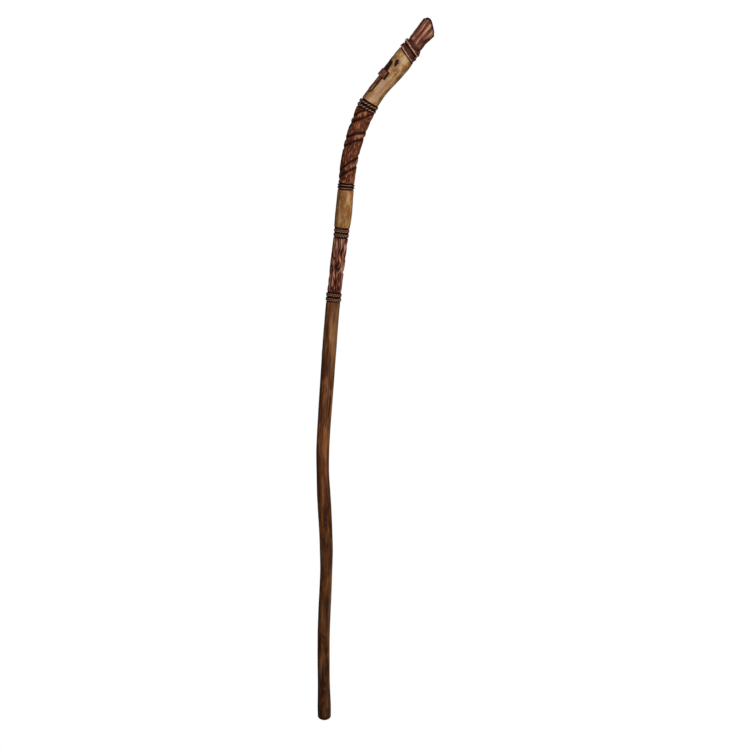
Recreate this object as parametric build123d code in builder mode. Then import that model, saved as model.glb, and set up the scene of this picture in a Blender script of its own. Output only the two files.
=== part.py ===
"""A staff-length wooden wand: one gently bent branch with a carved figure head near its top.

A topknot is doweled onto the head, a nose, a chin strip and two eyes are let into the face, and five
pairs of cord rings sit in turned channels. Sizes are millimetres. +Z is up the staff, +X is the side
that the top bends to and -Y is the front. The origin is on the branch's centre line, halfway along the
hand grip.
"""

import os
from math import cos, pi, radians, sin

from build123d import *

# ---- lengths of the branch's sections, along its centre line, from the foot up ----
SHAFT_LENGTH = 553.1
GRIP_LENGTH = 84.0
TAN_LENGTH = 60.6
SPIRAL_LENGTH = 108.7
FACE_LENGTH = 91.8  # up to the middle of the head band, where the topknot meets the head
TOPKNOT_LENGTH = 42.0

# ---- thickness of each section, before its natural swellings ----
SHAFT_DIAMETER = 17.3
GRIP_DIAMETER = 18.5
TAN_DIAMETER = 21.2
SPIRAL_DIAMETER = 23.4
HEAD_DIAMETER = 25.6
TOPKNOT_DIAMETER = 20.5  # at its base
TOPKNOT_FLARE = 4.0  # how much thicker its end is

FOOT_ROUNDING = 5.5
TOPKNOT_END_SLANT = 26.0  # degrees, towards the side the staff bends to
TOPKNOT_END_DOME_RADIUS = 22.0

# ---- cord bands, one at the upper end of each section ----
CORD_PROUD = 0.8  # how far a ring stands above the wood
CORD_THICKNESS = 3.2
CORD_CLEARANCE = 0.15  # under every ring in its channel
CORD_EDGE_ROUNDING = 0.45  # of the smaller side of a ring's section
HAND_BAND_RING_WIDTH = 4.9
GRIP_BAND_RING_WIDTH = 5.1
THIN_BAND_RING_WIDTH = 2.6
NECK_BAND_RING_WIDTH = 4.7
HEAD_BAND_RING_WIDTH = 7.2
HAND_BAND_GAP = 1.2  # between the two rings of a band
GRIP_BAND_GAP = 0.8
THIN_BAND_GAP = 1.2
NECK_BAND_GAP = 0.7
HEAD_BAND_GAP = 2.2
HAND_BAND_MARGIN = 1.1  # open channel above the upper ring and below the lower one
GRIP_BAND_MARGIN = 1.5
THIN_BAND_MARGIN = 1.3
NECK_BAND_MARGIN = 1.1
HEAD_BAND_MARGIN = 0.7
HEAD_BAND_DIAMETER = 28.0
HEAD_BAND_SLANT = 18.0  # degrees that the head band is tipped back from square

# ---- the pin between head and topknot ----
DOWEL_DIAMETER = 8.0
DOWEL_LENGTH = 34.0
DOWEL_CHAMFER = 0.8
DOWEL_CLEARANCE = 0.05
DOWEL_END_GAP = 1.0

# ---- face, measured along the head from the middle of the head band down ----
FACE_TURN = -60.0  # degrees round the branch from the front, towards the outside of the bend
NOSE_TOP = 26.9
NOSE_BRIDGE_LENGTH = 13.7
NOSE_BRIDGE_WIDTH = 6.5
NOSE_WING_LENGTH = 10.2
NOSE_WING_WIDTH = 15.2
NOSE_PROUD = 1.9
NOSE_DEPTH = 2.4  # how far the nose is let into the wood
CHIN_STRIP_LENGTH = 24.0
CHIN_STRIP_WIDTH = 7.4
CHIN_STRIP_PROUD = 0.8
INLAY_CLEARANCE = 0.1
EYE_CENTRE = 24.6
EYE_SPREAD = 39.0  # degrees round the head, each side of the nose
EYE_LENGTH = 9.8
EYE_WIDTH = 5.2
EYE_POINT_WIDTH = 1.2
EYE_TILT = 13.0  # degrees that the lower end leans away from the nose
EYE_PROUD = 0.5
EYE_DEPTH = 2.6
EYE_ROUNDING = 0.6

# ---- the natural shape of the branch ----
STATION_SPACING = 14.0  # between the round cross-sections that the branch's skin passes through
LENGTHS = {
    "shaft": SHAFT_LENGTH,
    "grip": GRIP_LENGTH,
    "tan": TAN_LENGTH,
    "spiral": SPIRAL_LENGTH,
    "face": FACE_LENGTH,
    "topknot": TOPKNOT_LENGTH,
}
DIAMETERS = {
    "shaft": SHAFT_DIAMETER,
    "grip": GRIP_DIAMETER,
    "tan": TAN_DIAMETER,
    "spiral": SPIRAL_DIAMETER,
    "face": HEAD_DIAMETER,
}
# section, share of its length, degrees from upright towards +X, degrees from upright towards +Y
LEANS = [
    ("shaft", 0.00, -0.5, 0.8),
    ("shaft", 0.14, -1.0, 0.6),
    ("shaft", 0.22, 2.0, 0.0),
    ("shaft", 0.29, 3.0, -0.8),
    ("shaft", 0.40, 0.0, -1.2),
    ("shaft", 0.52, -5.0, 0.0),
    ("shaft", 0.62, 1.2, 1.0),
    ("shaft", 0.74, 4.7, 0.8),
    ("shaft", 0.90, 3.3, 0.0),
    ("shaft", 1.00, 6.6, 0.0),
    ("grip", 0.50, 6.7, -0.5),
    ("grip", 1.00, 7.5, 0.0),
    ("tan", 0.50, 5.0, 0.0),
    ("tan", 1.00, 5.2, 0.0),
    ("spiral", 0.32, 9.3, 0.0),
    ("spiral", 0.78, 23.0, 0.0),
    ("spiral", 1.00, 25.7, 0.0),
    ("face", 0.28, 42.7, 0.0),
    ("face", 0.61, 37.0, 0.0),
    ("face", 1.00, 39.3, 0.0),
    ("topknot", 1.00, 39.3, 0.0),
]
# section, share of its length, how much thicker than the section's own diameter
SWELLS = [
    ("shaft", 0.00, -0.4),
    ("shaft", 0.025, 0.4),
    ("shaft", 0.09, -1.2),
    ("shaft", 0.19, -1.2),
    ("shaft", 0.28, -0.8),
    ("shaft", 0.355, -1.3),
    ("shaft", 0.42, 0.2),
    ("shaft", 0.52, 0.9),
    ("shaft", 0.59, -0.6),
    ("shaft", 0.66, 0.0),
    ("shaft", 0.76, 0.9),
    ("shaft", 0.88, 1.5),
    ("shaft", 1.00, 1.5),
    ("grip", 0.20, -0.4),
    ("grip", 0.55, 0.3),
    ("grip", 1.00, 0.1),
    ("tan", 0.35, 1.0),
    ("tan", 0.70, 0.1),
    ("tan", 1.00, -0.2),
    ("spiral", 0.32, -1.4),
    ("spiral", 0.68, 0.4),
    ("spiral", 1.00, 1.9),
    ("face", 0.23, -2.9),
    ("face", 0.42, -2.0),
    ("face", 0.61, -0.2),
    ("face", 0.80, 1.9),
    ("face", 1.00, -2.0),
]


def along(section, share=1.0):
    """Distance along the centre line, from the foot, to a share of the named section."""
    names = list(LENGTHS)
    below = sum(LENGTHS[name] for name in names[: names.index(section)])
    return below + share * LENGTHS[section]


def centre_line_points():
    """Points of the centre line, each step taken at the mean of the leans at its two ends."""
    points = [Vector(0, 0, 0)]
    for (low, low_share, right, back), (high, high_share, next_right, next_back) in zip(LEANS, LEANS[1:]):
        step = along(high, high_share) - along(low, low_share)
        to_right = sin(radians((right + next_right) / 2))
        to_back = sin(radians((back + next_back) / 2))
        upward = (1 - to_right**2 - to_back**2) ** 0.5
        points.append(points[-1] + Vector(to_right, to_back, upward) * step)
    return points


with BuildLine() as rough_line:
    Spline(*centre_line_points())
foot_to_head = rough_line.edge()
grip_middle = foot_to_head.position_at(along("grip", 0.5), PositionMode.LENGTH)
centre_line = foot_to_head.moved(Location(-grip_middle))


def across(distance):
    """The plane square to the branch at a distance along it: x to the front, z up the branch."""
    upward = centre_line.tangent_at(distance, PositionMode.LENGTH)
    front = Vector(0, -1, 0)
    return Plane(
        origin=centre_line.position_at(distance, PositionMode.LENGTH),
        x_dir=front - upward * upward.dot(front),
        z_dir=upward,
    )


def facing(place, turn, lift):
    """The plane that faces outwards from a place's axis, turned round it from the front, x up the branch."""
    outward = place.x_dir * cos(radians(turn)) + place.y_dir * sin(radians(turn))
    return Plane(origin=place.origin + outward * lift, x_dir=place.z_dir, z_dir=outward)


def profile_plane(place):
    """The plane through a place's axis: x away from the axis, y up the branch."""
    return Plane(origin=place.origin, x_dir=place.x_dir, z_dir=-place.y_dir)


def branch_diameter(distance):
    """The branch's diameter at a distance along it, eased from one listed swelling to the next."""
    stations = [(along(name, share), DIAMETERS[name] + extra) for name, share, extra in SWELLS]
    for (low, low_diameter), (high, high_diameter) in zip(stations, stations[1:]):
        if distance <= high:
            eased = (1 - cos(pi * (distance - low) / (high - low))) / 2
            return low_diameter + (high_diameter - low_diameter) * eased
    return stations[-1][1]


head_top = across(along("face"))
head_axis = Axis(head_top.origin, head_top.z_dir)
head_joint = Plane(
    origin=head_top.origin,
    x_dir=head_top.x_dir,
    z_dir=head_top.z_dir * cos(radians(HEAD_BAND_SLANT)) + head_top.y_dir * sin(radians(HEAD_BAND_SLANT)),
)


class Band:
    """Two cord rings side by side in one turned channel."""

    def __init__(self, name, place, wood_diameter, ring_width, gap, margin):
        self.name = name
        self.place = place
        self.ring_width = ring_width
        self.gap = gap
        self.inner_radius = wood_diameter / 2 + CORD_PROUD - CORD_THICKNESS
        self.channel_width = 2 * ring_width + gap + 2 * margin

    def ring(self, side):
        """The lower ring for side -1, the upper one for side 1."""
        with BuildPart() as made:
            with BuildSketch(profile_plane(self.place)):
                with Locations((self.inner_radius + CORD_THICKNESS / 2, side * (self.ring_width + self.gap) / 2)):
                    rounding = CORD_EDGE_ROUNDING * min(CORD_THICKNESS, self.ring_width)
                    RectangleRounded(CORD_THICKNESS, self.ring_width, rounding)
            revolve(axis=Axis(self.place.origin, self.place.z_dir))
        return made.part

    def channel(self):
        """The turned channel that both rings lie in, open outwards."""
        floor = self.inner_radius - CORD_CLEARANCE
        with BuildPart() as made:
            with BuildSketch(profile_plane(self.place)):
                with Locations((floor, 0)):
                    Rectangle(3 * CORD_THICKNESS, self.channel_width, align=(Align.MIN, Align.CENTER))
            revolve(axis=Axis(self.place.origin, self.place.z_dir))
        return made.part


def band_across(name, section, ring_width, gap, margin):
    """The band at the upper end of a section, square to the branch."""
    end = along(section)
    return Band(name, across(end), branch_diameter(end), ring_width, gap, margin)


HEAD_BAND_WOOD = HEAD_BAND_DIAMETER - 2 * CORD_PROUD
BANDS = [
    band_across("hand_band", "shaft", HAND_BAND_RING_WIDTH, HAND_BAND_GAP, HAND_BAND_MARGIN),
    band_across("grip_band", "grip", GRIP_BAND_RING_WIDTH, GRIP_BAND_GAP, GRIP_BAND_MARGIN),
    band_across("thin_band", "tan", THIN_BAND_RING_WIDTH, THIN_BAND_GAP, THIN_BAND_MARGIN),
    band_across("neck_band", "spiral", NECK_BAND_RING_WIDTH, NECK_BAND_GAP, NECK_BAND_MARGIN),
    Band("head_band", head_joint, HEAD_BAND_WOOD, HEAD_BAND_RING_WIDTH, HEAD_BAND_GAP, HEAD_BAND_MARGIN),
]


def dowel_hole(direction):
    """Half of the dowel's room, into the topknot for direction 1 and into the head for direction -1."""
    depth = DOWEL_LENGTH / 2 + DOWEL_END_GAP
    with BuildPart(head_top) as made:
        # the hole starts past the slanted joint, so that it opens there
        with Locations((0, 0, direction * (depth - DOWEL_DIAMETER) / 2)):
            Cylinder(DOWEL_DIAMETER / 2 + DOWEL_CLEARANCE, depth + DOWEL_DIAMETER)
    return made.part


def nose_outline(margin):
    """The bridge and the wings, seen from in front of the face, widened by a margin."""
    wing_top = NOSE_TOP + NOSE_BRIDGE_LENGTH
    with BuildSketch(facing(head_top, FACE_TURN, 0)) as made:
        with Locations((-NOSE_TOP + margin, 0)):
            Rectangle(NOSE_BRIDGE_LENGTH + 2 * margin, NOSE_BRIDGE_WIDTH + 2 * margin, align=(Align.MAX, Align.CENTER))
        with Locations((-wing_top + margin, 0)):
            Rectangle(NOSE_WING_LENGTH + 2 * margin, NOSE_WING_WIDTH + 2 * margin, align=(Align.MAX, Align.CENTER))
    return made.sketch


def chin_strip_outline(margin):
    """The strip from the wings down to its rounded end, widened by a margin."""
    top = NOSE_TOP + NOSE_BRIDGE_LENGTH + NOSE_WING_LENGTH + INLAY_CLEARANCE
    straight = CHIN_STRIP_LENGTH - CHIN_STRIP_WIDTH / 2
    with BuildSketch(facing(head_top, FACE_TURN, 0)) as made:
        with Locations((-top + margin, 0)):
            Rectangle(straight + margin, CHIN_STRIP_WIDTH + 2 * margin, align=(Align.MAX, Align.CENTER))
        with Locations((-top - straight, 0)):
            Circle(CHIN_STRIP_WIDTH / 2 + margin)
    return made.sketch


def eye_outline(side, margin):
    """A teardrop, wide end up, its point leaning away from the nose. Side 1 is the figure's left eye."""
    place = facing(head_top, FACE_TURN + side * EYE_SPREAD, 0)
    centre = place.origin - place.x_dir * EYE_CENTRE
    leaning = place.x_dir.rotate(Axis((0, 0, 0), place.z_dir), side * EYE_TILT)
    wide_end = (EYE_LENGTH - EYE_WIDTH) / 2
    point_end = (EYE_LENGTH - EYE_POINT_WIDTH) / 2
    with BuildSketch(Plane(origin=centre, x_dir=leaning, z_dir=place.z_dir)) as made:
        with Locations((wide_end, 0)):
            Circle(EYE_WIDTH / 2 + margin)
        with Locations((-point_end, 0)):
            Circle(EYE_POINT_WIDTH / 2 + margin)
        make_hull()
    return made.sketch


def inlay(outline, distance, depth, proud):
    """An outline let into the head and standing proud of it, round the branch's own line at a distance."""
    below = across(distance).offset(-FACE_LENGTH / 2)
    wood_radius = branch_diameter(distance) / 2
    with BuildPart() as made:
        extrude(outline, amount=wood_radius + 2 * (proud + depth))
        with BuildSketch(below):
            Circle(wood_radius + proud)
        extrude(amount=FACE_LENGTH, mode=Mode.INTERSECT)
        with BuildSketch(below):
            Circle(wood_radius - depth)
        extrude(amount=FACE_LENGTH, mode=Mode.SUBTRACT)
    return made.part


def nose_inlay(margin):
    """The nose, or with a margin the rebate that it is let into."""
    middle = along("face") - NOSE_TOP - (NOSE_BRIDGE_LENGTH + NOSE_WING_LENGTH) / 2
    return inlay(nose_outline(margin), middle, NOSE_DEPTH + margin, NOSE_PROUD if margin == 0 else 2 * NOSE_PROUD)


def chin_strip_inlay(margin):
    """The chin strip, or with a margin its rebate."""
    middle = along("face") - NOSE_TOP - NOSE_BRIDGE_LENGTH - NOSE_WING_LENGTH - CHIN_STRIP_LENGTH / 2
    proud = CHIN_STRIP_PROUD if margin == 0 else 2 * NOSE_PROUD
    return inlay(chin_strip_outline(margin), middle, NOSE_DEPTH + margin, proud)


def eye_inlay(side, margin):
    """An eye, or with a margin its socket."""
    proud = EYE_PROUD if margin == 0 else 2 * NOSE_PROUD
    return inlay(eye_outline(side, margin), along("face") - EYE_CENTRE, EYE_DEPTH + margin, proud)


def section_stations(section):
    """Planes and diameters at even steps along a section, both ends included."""
    steps = max(3, round(LENGTHS[section] / STATION_SPACING))
    distances = [along(section, step / steps) for step in range(steps + 1)]
    places = [across(distance) for distance in distances]
    if section == "face":
        places[-1] = head_joint
    return [(place, branch_diameter(distance)) for place, distance in zip(places, distances)]


with BuildPart() as branch:
    for section_name in DIAMETERS:
        for station_plane, diameter in section_stations(section_name):
            with BuildSketch(station_plane):
                Circle(diameter / 2)
        loft()
    fillet(branch.edges().sort_by(Axis.Z)[0], FOOT_ROUNDING)
    for band in BANDS:
        add(band.channel(), mode=Mode.SUBTRACT)
    add(dowel_hole(-1), mode=Mode.SUBTRACT)
    add(nose_inlay(INLAY_CLEARANCE), mode=Mode.SUBTRACT)
    add(chin_strip_inlay(INLAY_CLEARANCE), mode=Mode.SUBTRACT)
    for eye_side in (1, -1):
        add(eye_inlay(eye_side, INLAY_CLEARANCE), mode=Mode.SUBTRACT)

crown = across(along("topknot"))
crown_normal = crown.z_dir * cos(radians(TOPKNOT_END_SLANT)) + crown.y_dir * sin(radians(TOPKNOT_END_SLANT))
crown_face = Plane(origin=crown.origin, x_dir=crown.x_dir, z_dir=crown_normal)

with BuildPart(crown_face.offset(-TOPKNOT_END_DOME_RADIUS)) as crown_cutter:
    Box(*[4 * TOPKNOT_END_DOME_RADIUS] * 2, 2 * TOPKNOT_END_DOME_RADIUS, align=(Align.CENTER, Align.CENTER, Align.MIN))
    Sphere(TOPKNOT_END_DOME_RADIUS, mode=Mode.SUBTRACT)

with BuildPart() as topknot:
    with BuildSketch(head_joint):
        Circle(TOPKNOT_DIAMETER / 2)
    for share in (0.35, 0.8, 1.3):
        with BuildSketch(head_top.offset(share * TOPKNOT_LENGTH)):
            Circle((TOPKNOT_DIAMETER + TOPKNOT_FLARE * min(share, 1)) / 2)
    loft()
    add(crown_cutter.part, mode=Mode.SUBTRACT)
    add(BANDS[-1].channel(), mode=Mode.SUBTRACT)
    add(dowel_hole(1), mode=Mode.SUBTRACT)

with BuildPart(head_top) as topknot_dowel:
    Cylinder(DOWEL_DIAMETER / 2, DOWEL_LENGTH)
    chamfer(topknot_dowel.edges().filter_by(GeomType.CIRCLE), DOWEL_CHAMFER)

with BuildPart() as nose:
    add(nose_inlay(0))

with BuildPart() as chin_strip:
    add(chin_strip_inlay(0))

pieces = {
    "branch": branch.part,
    "topknot": topknot.part,
    "topknot_dowel": topknot_dowel.part,
    "nose": nose.part,
    "chin_strip": chin_strip.part,
}
for eye_side, side_name in ((1, "left"), (-1, "right")):
    pieces[f"eye_{side_name}"] = eye_inlay(eye_side, 0)
for band in BANDS:
    for ring_side, side_name in ((-1, "lower"), (1, "upper")):
        pieces[f"{band.name}_{side_name}_cord"] = band.ring(ring_side)

os.makedirs("parts", exist_ok=True)
for piece_name, piece in pieces.items():
    piece.label = piece_name
    export_step(piece, f"parts/{piece_name}.step")
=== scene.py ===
"""A carved wooden wand the length of a walking staff: one natural branch with a smooth shaft, a bark-cut
grip, a pale swelling, a spiral-cut length and a carved head with inlaid nose, chin strip and eyes, a fluted
topknot, and ten cord rings. Lengths in this file are millimetres until a mesh is finished."""
import bpy
import bmesh
import math
import numpy as np
from mathutils import Matrix, Vector
from mathutils.bvhtree import BVHTree


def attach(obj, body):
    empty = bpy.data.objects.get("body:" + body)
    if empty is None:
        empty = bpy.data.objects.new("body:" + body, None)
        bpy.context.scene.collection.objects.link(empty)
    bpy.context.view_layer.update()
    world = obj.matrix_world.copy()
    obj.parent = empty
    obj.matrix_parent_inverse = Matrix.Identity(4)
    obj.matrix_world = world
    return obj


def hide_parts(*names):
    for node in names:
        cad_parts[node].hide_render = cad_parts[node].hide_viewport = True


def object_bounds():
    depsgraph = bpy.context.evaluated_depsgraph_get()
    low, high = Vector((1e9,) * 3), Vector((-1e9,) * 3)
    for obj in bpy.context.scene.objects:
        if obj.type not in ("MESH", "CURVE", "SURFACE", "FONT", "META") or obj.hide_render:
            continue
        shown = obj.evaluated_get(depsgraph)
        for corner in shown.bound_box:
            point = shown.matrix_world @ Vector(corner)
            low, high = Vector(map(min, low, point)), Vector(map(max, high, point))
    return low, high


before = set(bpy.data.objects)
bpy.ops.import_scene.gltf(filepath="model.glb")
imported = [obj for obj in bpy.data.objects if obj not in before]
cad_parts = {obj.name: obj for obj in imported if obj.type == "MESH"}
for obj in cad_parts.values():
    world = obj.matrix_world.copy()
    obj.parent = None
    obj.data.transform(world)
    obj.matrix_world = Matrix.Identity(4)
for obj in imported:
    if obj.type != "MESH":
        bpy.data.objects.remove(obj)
cad_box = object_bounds()
MM = 0.001


# ---- small tools

def step(low, high, value):
    t = np.clip((value - low) / (high - low), 0.0, 1.0)
    return t * t * (3.0 - 2.0 * t)


def hill(value, width):
    """1 where the value is zero, falling away to 0 on both sides."""
    return np.exp(-(value / width) ** 2)


def full_turn(spokes):
    return np.linspace(0.0, 2.0 * np.pi, spokes, endpoint=False)


def cloud(x, y, z, seed=0):
    """A smooth random field from about -1 to 1, whose lumps are about one unit across."""
    cell = [np.floor(v).astype(np.int64) for v in (x, y, z)]
    part = [v - c for v, c in zip((x, y, z), cell)]
    ease = [t * t * t * (t * (t * 6.0 - 15.0) + 10.0) for t in part]
    total = np.zeros(np.shape(x))
    for i in (0, 1):
        for j in (0, 1):
            for k in (0, 1):
                h = (cell[0] + i) * 73856093 ^ (cell[1] + j) * 19349663
                h = h ^ (cell[2] + k) * 83492791 ^ (seed + 1) * 2654435
                h = (h ^ (h >> 13)) * 1274126177 & 0x7FFFFFFF
                h = (h ^ (h >> 15)) * 668265263 & 0x7FFFFFFF
                slope = [((h >> shift) & 255) / 127.5 - 1.0 for shift in (3, 11, 19)]
                dot = sum(g * (t - o) for g, t, o in zip(slope, part, (i, j, k)))
                weight = 1.0
                for e, o in zip(ease, (i, j, k)):
                    weight = weight * (e if o else 1.0 - e)
                total += weight * dot
    return total * 1.5


def unit(v):
    return v / np.linalg.norm(v, axis=-1, keepdims=True)


def of_vertices(mesh, what="co"):
    flat = np.empty(len(mesh.vertices) * 3)
    mesh.vertices.foreach_get(what, flat)
    return flat.reshape(-1, 3)


def corners(node):
    """The CAD node's points in millimetres, one row each."""
    return of_vertices(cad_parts[node].data) / MM


def new_object(name, data):
    made = bpy.data.objects.new(name, data)
    bpy.context.scene.collection.objects.link(made)
    return made


def solid_tree(*nodes):
    points, faces = [], []
    for node in nodes:
        start = len(points)
        points += [tuple(p) for p in corners(node)]
        faces += [[start + i for i in polygon.vertices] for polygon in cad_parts[node].data.polygons]
    return BVHTree.FromPolygons(points, faces)


# ---- the branch's own line

class Line:
    """The wand's middle line, read off the CAD wood: its place, direction and radius at each distance from
    the foot. A turn angle is counted from the front, -Y, towards +X."""
    STEP = 4.0
    REACH = 40.0

    def __init__(self):
        self.wood = solid_tree("branch", "topknot")
        points = corners("branch")
        low = points[:, 2].min()
        foot = points[points[:, 2] < low + 12.0]
        middle = (foot.min(0) + foot.max(0)) / 2.0
        centre = np.array([middle[0], middle[1], low + self.STEP * 1.5])
        top = corners("topknot")[:, 2].max()
        aim = np.array([0.0, 0.0, 1.0])
        centres, radii = [], []
        while centre[2] < top - 4.0:
            fitted, radius = self.fit(centre, aim)
            centres.append(fitted)
            radii.append(radius)
            if len(centres) > 3:
                aim = unit(centres[-1] - centres[-4])
            centre = centres[-1] + aim * self.STEP
        centres = np.array(centres)
        for _ in range(3):
            centres[1:-1] = (centres[:-2] + 2.0 * centres[1:-1] + centres[2:]) / 4.0
        before = [centres[0] + (centres[0] - centres[2]) / 2.0 * n for n in (2, 1)]
        after = [centres[-1] + (centres[-3] - centres[-5]) / 2.0 * n for n in (1, 2, 3, 4)]
        centres = np.vstack([before, centres, after])
        radii = [radii[0]] * 2 + radii + [radii[-1]] * 4
        steps = np.linalg.norm(np.diff(centres, axis=0), axis=1)
        travel = np.concatenate([[0.0], np.cumsum(steps)])
        foot_at = np.interp(low, centres[:8, 2], travel[:8])
        self.at = travel - foot_at
        self.centres = centres
        self.radii = np.array(radii)

    def fit(self, centre, aim):
        front, side = self.axes(aim)
        turns = full_turn(36)
        found = []
        for turn in turns:
            out = np.cos(turn) * front + np.sin(turn) * side
            hit = self.wood.ray_cast(Vector(centre + out * self.REACH), Vector(-out), self.REACH)
            if hit[0] is not None:
                found.append((turn, self.REACH - hit[3]))
        if len(found) < 20:
            return centre, np.nan
        turn, radius = np.array(found).T
        terms = np.stack([np.ones_like(turn), np.cos(turn), np.sin(turn)], 1)
        keep = np.ones(len(turn), bool)
        for _ in range(4):
            answer = np.linalg.lstsq(terms[keep], radius[keep], rcond=None)[0]
            error = radius - terms @ answer
            keep = error > max(-0.3, np.quantile(error, 0.2) - 0.05)
        if abs(answer[1]) + abs(answer[2]) > 5.0 or keep.mean() < 0.55 or np.std(error[keep]) > 0.3:
            return centre, np.nan
        return centre + answer[1] * front + answer[2] * side, answer[0]

    @staticmethod
    def axes(aim):
        front = unit(np.array([0.0, -1.0, 0.0]) - aim * -aim[..., 1:2])
        return front, np.cross(aim, front)

    def place(self, distance):
        """Centre, direction, front and side at each distance."""
        distance = np.asarray(distance, float)
        centre = np.stack([np.interp(distance, self.at, self.centres[:, i]) for i in range(3)], -1)
        ahead = np.stack([np.interp(distance + 6.0, self.at, self.centres[:, i]) for i in range(3)], -1)
        behind = np.stack([np.interp(distance - 6.0, self.at, self.centres[:, i]) for i in range(3)], -1)
        aim = unit(ahead - behind)
        front, side = self.axes(aim)
        return centre, aim, front, side

    def bend(self, turn, distance, radius):
        """Takes points of the straightened wand to their places in the frame."""
        centre, _, front, side = self.place(distance)
        out = np.cos(turn)[..., None] * front + np.sin(turn)[..., None] * side
        return centre + radius[..., None] * out

    def nearest(self, point):
        fine = np.arange(0.0, self.at[-1], 0.25)
        centre = self.place(fine)[0]
        return fine[np.argmin(np.linalg.norm(centre - point, axis=1))]


class Ring:
    """One cord ring, measured on its CAD solid."""

    def __init__(self, node, axis):
        points = corners(node)
        self.node = node
        self.axis = axis
        self.centre = (points.min(0) + points.max(0)) / 2.0
        height = (points - self.centre) @ axis
        out = np.linalg.norm(points - self.centre - height[:, None] * axis, axis=1)
        self.width = height.max() - height.min()
        self.inner, self.outer = out.min(), out.max()
        self.middle = (self.inner + self.outer) / 2.0
        self.thickness = self.outer - self.inner

    def turn_into_place(self):
        """The matrix from the ring's own space, axis up and front at -Y, to the frame in metres."""
        front, side = Line.axes(self.axis)
        turned = Matrix([[side[i], -front[i], self.axis[i]] for i in range(3)]).to_4x4()
        return Matrix.Scale(MM, 4) @ Matrix.Translation(Vector(self.centre)) @ turned


class Band:
    """Two cord rings side by side, in their channel, which is wider than they are by a margin at each end."""

    def __init__(self, name, line, margin):
        lower, upper = corners(f"{name}_band_lower_cord"), corners(f"{name}_band_upper_cord")
        middles = [(p.min(0) + p.max(0)) / 2.0 for p in (lower, upper)]
        self.axis = unit(middles[1] - middles[0])
        self.lower = Ring(f"{name}_band_lower_cord", self.axis)
        self.upper = Ring(f"{name}_band_upper_cord", self.axis)
        self.centre = (middles[0] + middles[1]) / 2.0
        self.at = line.nearest(self.centre)
        self.half = np.linalg.norm(middles[1] - middles[0]) / 2.0 + self.lower.width / 2.0
        self.margin = margin
        _, aim, front, side = line.place(self.at)
        self.lean = -float(self.axis @ side) / float(self.axis @ aim)

    def edge_gap(self, turn, distance, radius):
        """How far a point of the wood lies outside the rings, along the wand; negative beneath them."""
        middle = self.at + self.lean * radius * np.sin(turn)
        return np.abs(distance - middle) - self.half


line = Line()
bands = {name: Band(name, line, margin) for name, margin in
         (("hand", 0.9), ("grip", 1.3), ("thin", 1.1), ("neck", 0.9), ("head", 0.5))}


CHANNEL_BLUR = 1.8  # how far past a channel the measured radius is still off
SEAT_GAP = 0.15  # under a ring
RIDGE_DEPTH = 0.55  # of the black ridge between two rings, beneath their outside
LINE_DEPTH = 0.75  # of the black line beside them


def wood_radius(distance):
    """The radius of the wood beside and between the bands, as if no channel were turned in it."""
    free = np.isfinite(line.radii)
    for band in bands.values():
        slant = abs(band.lean) * band.lower.outer
        free &= np.abs(line.at - band.at) > band.half + band.margin + CHANNEL_BLUR + slant
    free &= line.at > 7.0
    return np.interp(distance, line.at[free], line.radii[free])


# ---- shader words

class Term:
    """A shader socket that takes part in sums."""

    def __init__(self, finish, socket):
        self.finish = finish
        self.socket = socket

    @staticmethod
    def maths(operation, swapped=False):
        def act(self, other):
            first, second = (other, self) if swapped else (self, other)
            return self.finish.node("ShaderNodeMath", {"operation": operation}, {0: first, 1: second})
        return act


for word, operation in (("add", "ADD"), ("sub", "SUBTRACT"), ("mul", "MULTIPLY")):
    setattr(Term, f"__{word}__", Term.maths(operation))
    setattr(Term, f"__r{word}__", Term.maths(operation, True))


def add_node(tree, kind, settings=None, inputs=None):
    """A new node. Each of its inputs is a plain value, a Term or another node's socket."""
    made = tree.nodes.new(kind)
    for key, value in (settings or {}).items():
        if key == "stops":
            ramp = made.color_ramp.elements
            while len(ramp) < len(value):
                ramp.new(0.5)
            for element, (position, colour) in zip(ramp, value):
                element.position, element.color = position, colour
        else:
            setattr(made, key, value)
    for key, value in (inputs or {}).items():
        value = value.socket if isinstance(value, Term) else value
        if isinstance(value, bpy.types.NodeSocket):
            tree.links.new(value, made.inputs[key])
        else:
            made.inputs[key].default_value = value
    return made


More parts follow.
